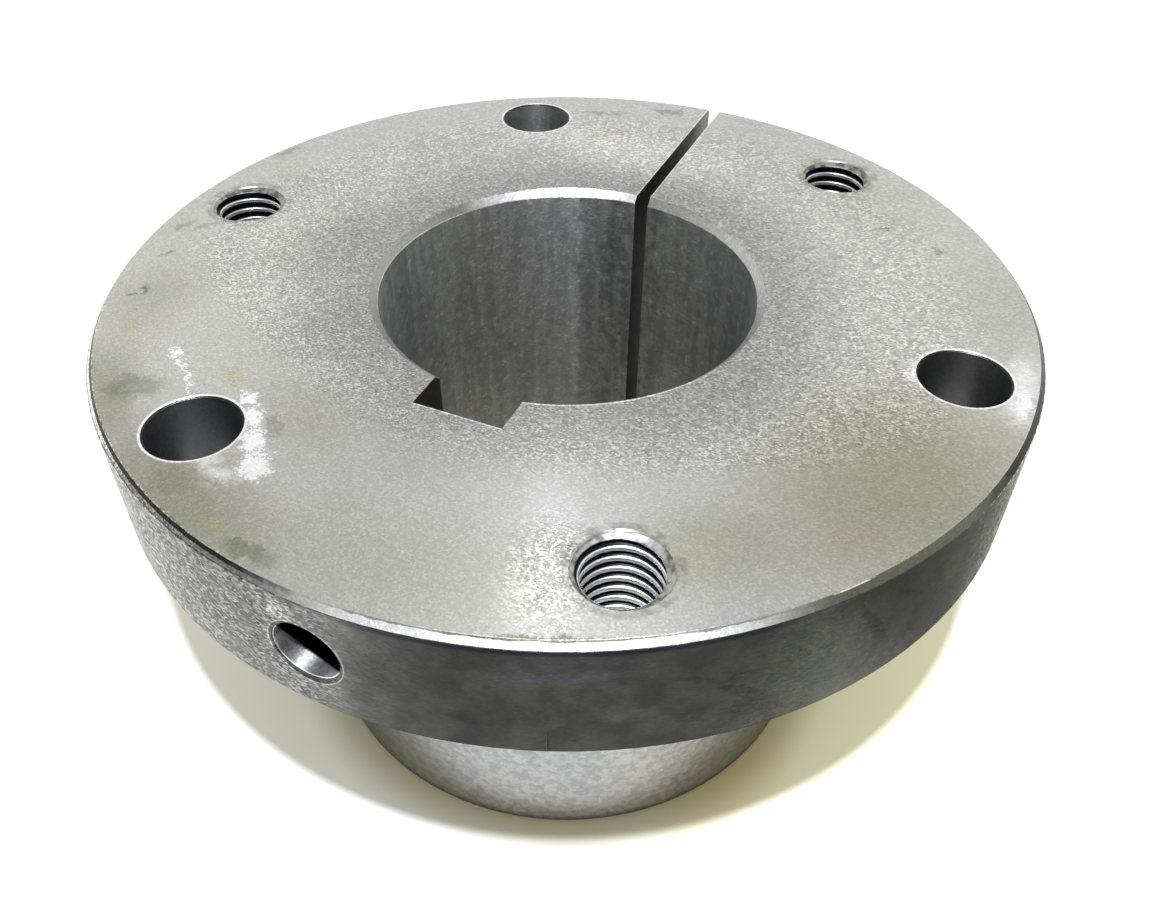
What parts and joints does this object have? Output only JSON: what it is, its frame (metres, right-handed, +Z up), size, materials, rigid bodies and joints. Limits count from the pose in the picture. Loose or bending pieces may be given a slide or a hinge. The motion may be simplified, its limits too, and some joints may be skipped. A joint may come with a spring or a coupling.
{
  "type": "flanged taper bushing",
  "caption": "One-piece split taper bushing with a round screw flange, a keyed bore, plain and tapped flange holes and a radial key screw hole.",
  "frame": {"origin": "centre of the barrel's small end, which the bushing stands on, on the axis of the bore", "axes": "+Z up the bore from the small end to the flange, -Y towards the keyway and the key screw hole, +Y towards the slit, +X towards one of the plain flange holes"},
  "size_m": [0.1682, 0.1682, 0.0953],
  "materials": {
    "cast_iron": "machined, bare"
  },
  "bodies": {
    "root": {"bushing": "cast_iron"}
  },
  "joints": []
}
